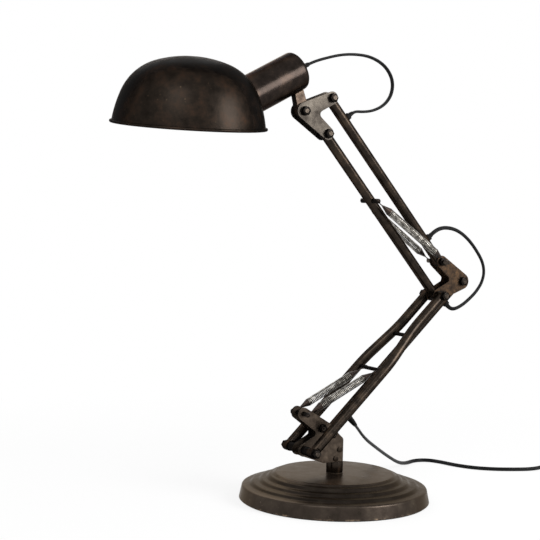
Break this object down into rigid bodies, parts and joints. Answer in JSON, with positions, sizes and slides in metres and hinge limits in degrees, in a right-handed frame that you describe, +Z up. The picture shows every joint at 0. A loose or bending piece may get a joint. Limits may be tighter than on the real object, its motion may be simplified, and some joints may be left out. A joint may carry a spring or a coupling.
{
  "type": "desk lamp",
  "caption": "Desk lamp with a domed shade, a spring-balanced parallelogram arm and a stepped round base, in dark aged iron.",
  "frame": {"origin": "centre of the base's underside, on the surface that the lamp stands on", "axes": "+Z up; the arm swings in the X-Z plane with the shade toward -X; -Y is the front"},
  "size_m": [0.8333, 0.2651, 0.5613],
  "materials": {
    "aged_iron": "satin",
    "worn_steel": "satin",
    "bolt_steel": "satin",
    "spring_steel": "polished",
    "cast_iron": "matte",
    "felt": "matte",
    "black_pvc": "satin",
    "black_plastic": "satin",
    "black_rubber": "matte",
    "brass": "polished"
  },
  "bodies": {
    "base": {"felt_pad": "felt", "base_cover": "aged_iron", "base_weight": "cast_iron", "swivel_washer": "aged_iron", "mains_run": "black_pvc", "mains_coil": "black_pvc", "plug": "black_plastic", "cord_switch_body": "black_plastic"},
    "switch_rocker": {"cord_switch_rocker": "black_plastic"},
    "yoke": {"post": "aged_iron", "spindle_nut": "bolt_steel", "yoke_plate_front": "aged_iron", "yoke_plate_rear": "aged_iron", "yoke_apex_bolt": "bolt_steel", "stop_bolt": "bolt_steel", "fork_pin": "bolt_steel", "fork_spacer_front": "bolt_steel", "fork_spacer_rear": "bolt_steel", "spring_anchor_pin": "bolt_steel", "lower_spring_front": "spring_steel", "lower_spring_rear": "spring_steel"},
    "lower_arm": {"lower_cable_tube": "aged_iron", "lower_grommet_low": "black_rubber", "lower_grommet_high": "black_rubber", "mains_drop": "black_pvc"},
    "fork": {"fork_tube_front": "aged_iron", "fork_tube_rear": "aged_iron", "fork_rod_high": "aged_iron", "fork_rod_low": "aged_iron"},
    "elbow": {"elbow_plate_front": "worn_steel", "elbow_plate_rear": "worn_steel", "elbow_apex_bolt": "bolt_steel", "elbow_fork_pin": "bolt_steel", "elbow_spacer_front": "bolt_steel", "elbow_spacer_rear": "bolt_steel", "elbow_spring_pin": "bolt_steel", "elbow_loop_upper": "black_pvc", "elbow_loop_lower": "black_pvc", "upper_spring_front": "spring_steel", "upper_spring_rear": "spring_steel"},
    "upper_arm": {"upper_cable_tube": "aged_iron", "upper_grommet_low": "black_rubber", "upper_grommet_high": "black_rubber"},
    "upper_link": {"upper_link_tube": "aged_iron", "upper_spring_pin": "aged_iron"},
    "head_bracket": {"head_plate_front": "worn_steel", "head_plate_rear": "worn_steel", "head_low_bolt": "bolt_steel", "head_high_bolt": "bolt_steel", "head_tilt_bolt": "bolt_steel", "head_loop_lower": "black_pvc", "head_loop_upper": "black_pvc"},
    "head": {"head_stem": "aged_iron", "socket_housing": "aged_iron", "cord_gland": "black_plastic", "lampholder": "black_plastic", "socket_shell": "brass", "centre_contact": "brass", "shade": "aged_iron"}
  },
  "joints": [
    {"name": "base_swivel", "type": "hinge", "parent": "base", "child": "yoke", "pos_m": [0, 0, 0.0354], "axis": [0, 0, 1], "range_deg": [-90, 90], "deforming": ["mains_run", "mains_drop"]},
    {"name": "lower_arm_hinge", "type": "hinge", "parent": "yoke", "child": "lower_arm", "pos_m": [-0.0117, 0, 0.0855], "axis": [0, -1, 0], "range_deg": [-1, 55], "deforming": ["mains_drop", "elbow_loop_lower"]},
    {"name": "fork_hinge", "type": "hinge", "parent": "yoke", "child": "fork", "pos_m": [-0.05138, 0, 0.06767], "axis": [0, -1, 0], "range_deg": [-1, 55], "deforming": ["lower_spring_front", "lower_spring_rear"]},
    {"name": "elbow_hinge", "type": "hinge", "parent": "lower_arm", "child": "elbow", "pos_m": [0.18982, 0, 0.27408], "axis": [0, -1, 0], "range_deg": [-55, 1], "deforming": ["elbow_loop_lower", "elbow_loop_upper"]},
    {"name": "upper_arm_hinge", "type": "hinge", "parent": "elbow", "child": "upper_arm", "pos_m": [0.15499, 0, 0.30014], "axis": [0, -1, 0], "range_deg": [-25, 58], "deforming": ["elbow_loop_upper"]},
    {"name": "upper_link_hinge", "type": "hinge", "parent": "elbow", "child": "upper_link", "pos_m": [0.15015, 0, 0.25625], "axis": [0, -1, 0], "range_deg": [-25, 58], "deforming": ["upper_spring_front", "upper_spring_rear"]},
    {"name": "head_bracket_hinge", "type": "hinge", "parent": "upper_arm", "child": "head_bracket", "pos_m": [-0.02285, 0, 0.50329], "axis": [0, -1, 0], "range_deg": [-58, 25], "deforming": ["head_loop_lower"]},
    {"name": "head_tilt", "type": "hinge", "parent": "head_bracket", "child": "head", "pos_m": [-0.06253, 0, 0.48546], "axis": [0, -1, 0], "range_deg": [-25, 45], "deforming": ["head_loop_upper"]},
    {"name": "switch_rock", "type": "hinge", "parent": "base", "child": "switch_rocker", "pos_m": [0.429, 0.022, 0.0148], "axis": [0, 1, 0], "range_deg": [0, 10]}
  ],
  "couplings": [
    {"joint": "fork_hinge", "follows": "lower_arm_hinge", "ratio": 1},
    {"joint": "elbow_hinge", "follows": "lower_arm_hinge", "ratio": -1},
    {"joint": "upper_link_hinge", "follows": "upper_arm_hinge", "ratio": 1},
    {"joint": "head_bracket_hinge", "follows": "upper_arm_hinge", "ratio": -1}
  ]
}
